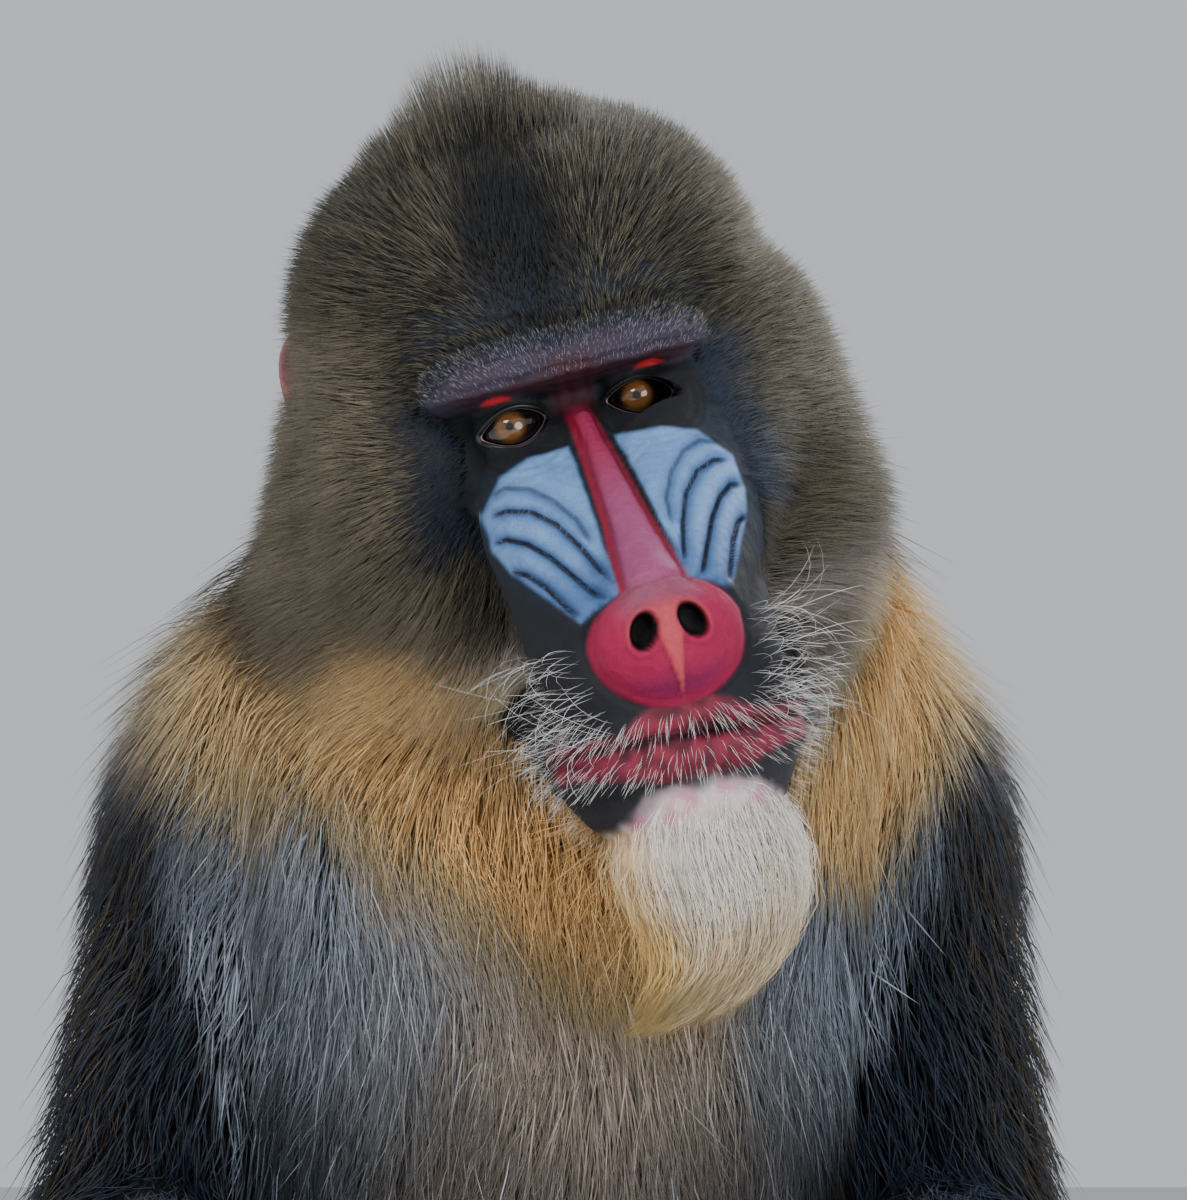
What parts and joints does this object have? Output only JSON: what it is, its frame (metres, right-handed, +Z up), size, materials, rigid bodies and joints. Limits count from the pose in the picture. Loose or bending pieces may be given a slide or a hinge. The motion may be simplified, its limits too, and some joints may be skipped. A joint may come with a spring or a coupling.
{
  "type": "mandrill",
  "caption": "Life-size adult male mandrill sitting upright, knees raised and forearms resting over them, with a ridged blue and red muzzle, ruff, crest and pointed beard.",
  "frame": {"origin": "on the floor, below the centre of the animal's bounding box", "axes": "+Z up, the animal's front faces -Y, and its left side is on +X"},
  "size_m": [0.4084, 0.4444, 0.7146],
  "materials": {
    "coat_fur": "short dense fur, dark olive grey",
    "ruff_fur": "long soft fur, ochre to grey",
    "beard_fur": "long soft fur, white to golden yellow",
    "face_skin": "bare matt skin, blue, crimson and near black",
    "ear_skin": "bare matt skin, pinkish brown",
    "hand_skin": "bare creased skin, near black",
    "eye": "wet and glossy, amber iris"
  },
  "bodies": {
    "root": {"torso": "coat_fur", "neck": "ruff_fur", "head": "face_skin", "lower_jaw": "beard_fur", "tail": "coat_fur", "ear_left": "ear_skin", "ear_right": "ear_skin", "eye_left": "eye", "eye_right": "eye", "upper_arm_left": "coat_fur", "forearm_left": "coat_fur", "thigh_left": "coat_fur", "shin_left": "coat_fur", "hand_left": "hand_skin", "foot_left": "hand_skin", "upper_arm_right": "coat_fur", "forearm_right": "coat_fur", "thigh_right": "coat_fur", "shin_right": "coat_fur", "hand_right": "hand_skin", "foot_right": "hand_skin"}
  },
  "joints": []
}
